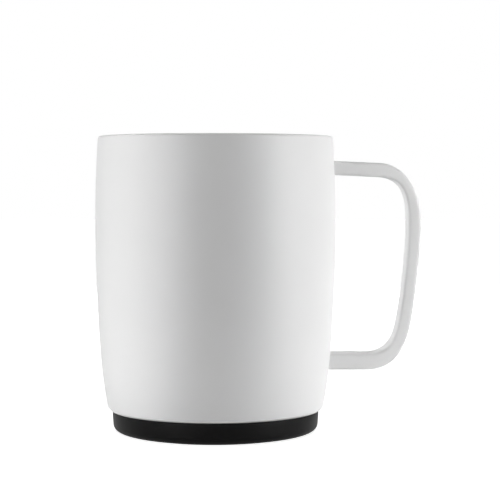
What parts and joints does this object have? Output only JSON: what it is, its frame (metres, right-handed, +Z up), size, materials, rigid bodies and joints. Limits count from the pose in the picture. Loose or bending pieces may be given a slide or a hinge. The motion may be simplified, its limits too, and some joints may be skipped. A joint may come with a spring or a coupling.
{
  "type": "insulated mug",
  "caption": "Double-wall insulated mug for hot or cold drinks, with a barrel-shaped coated body, a D-shaped band handle and a black base cap.",
  "frame": {"origin": "on the mug's axis at table level, at the middle of the non-slip pad's underside", "axes": "+Z up along the mug's axis, +X from the axis towards the handle"},
  "size_m": [0.1162, 0.086, 0.1058],
  "materials": {
    "white_coat": "matte white powder coat",
    "brushed_steel": "bare stainless steel, brushed",
    "copper_foil": "bright copper foil",
    "braze": "dull brazing metal",
    "getter_alloy": "sintered, dark grey",
    "black_plastic": "fine matte moulded texture",
    "bond_foam": "dark adhesive foam",
    "black_rubber": "matte rubber"
  },
  "bodies": {
    "root": {"outer_shell": "white_coat", "inner_liner": "brushed_steel", "reflective_foil": "copper_foil", "outer_bottom": "brushed_steel", "vacuum_seal": "braze", "getter_dish": "brushed_steel", "getter_pill": "getter_alloy", "base_cap": "black_plastic", "bond_ring": "bond_foam", "non_slip_pad": "black_rubber", "handle": "white_coat"}
  },
  "joints": []
}
